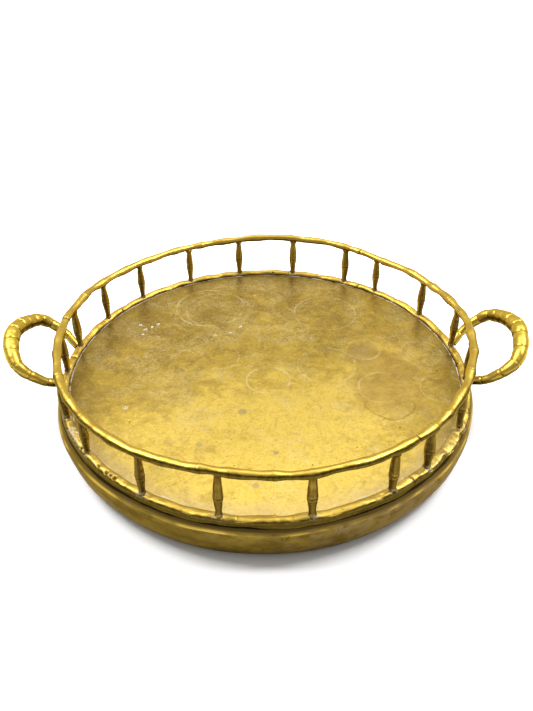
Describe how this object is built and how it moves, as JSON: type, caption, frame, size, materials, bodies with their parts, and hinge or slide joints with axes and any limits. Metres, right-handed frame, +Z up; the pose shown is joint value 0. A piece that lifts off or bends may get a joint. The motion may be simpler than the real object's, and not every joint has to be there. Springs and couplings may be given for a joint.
{
  "type": "brass gallery tray",
  "caption": "Round brass tray on a deep bellied base, with a bamboo-pattern gallery rail on short balusters and a loop handle at each side, for carrying glasses.",
  "frame": {"origin": "centre of the base, on the ground", "axes": "+Z up, +X through the right handle, -Y towards the front"},
  "size_m": [0.384, 0.3086, 0.0752],
  "materials": {
    "pan_brass": "worn and tarnished, with glass rings, scratches and pits",
    "lower_rail_brass": "cast brass, bright on the crest, brown below",
    "top_rail_brass": "cast brass, hand-polished",
    "baluster_brass": "cast brass, dull in the hollows",
    "rivet_brass": "filed flush, dull",
    "handle_brass": "cast brass, polished by hands"
  },
  "bodies": {
    "root": {"pan": "pan_brass", "lower_rail_1": "lower_rail_brass", "top_rail_1": "top_rail_brass", "lower_rail_2": "lower_rail_brass", "top_rail_2": "top_rail_brass", "lower_rail_3": "lower_rail_brass", "top_rail_3": "top_rail_brass", "baluster_1": "baluster_brass", "baluster_2": "baluster_brass", "baluster_3": "baluster_brass", "baluster_4": "baluster_brass", "baluster_5": "baluster_brass", "baluster_6": "baluster_brass", "baluster_7": "baluster_brass", "baluster_8": "baluster_brass", "baluster_9": "baluster_brass", "baluster_10": "baluster_brass", "baluster_11": "baluster_brass", "baluster_12": "baluster_brass", "baluster_13": "baluster_brass", "baluster_14": "baluster_brass", "baluster_15": "baluster_brass", "baluster_16": "baluster_brass", "baluster_17": "baluster_brass", "baluster_18": "baluster_brass", "baluster_19": "baluster_brass", "baluster_20": "baluster_brass", "rail_rivet_1": "rivet_brass", "rail_rivet_2": "rivet_brass", "rail_rivet_3": "rivet_brass", "rail_rivet_4": "rivet_brass", "rail_rivet_5": "rivet_brass", "rail_rivet_6": "rivet_brass", "handle_left": "handle_brass", "handle_right": "handle_brass"}
  },
  "joints": []
}
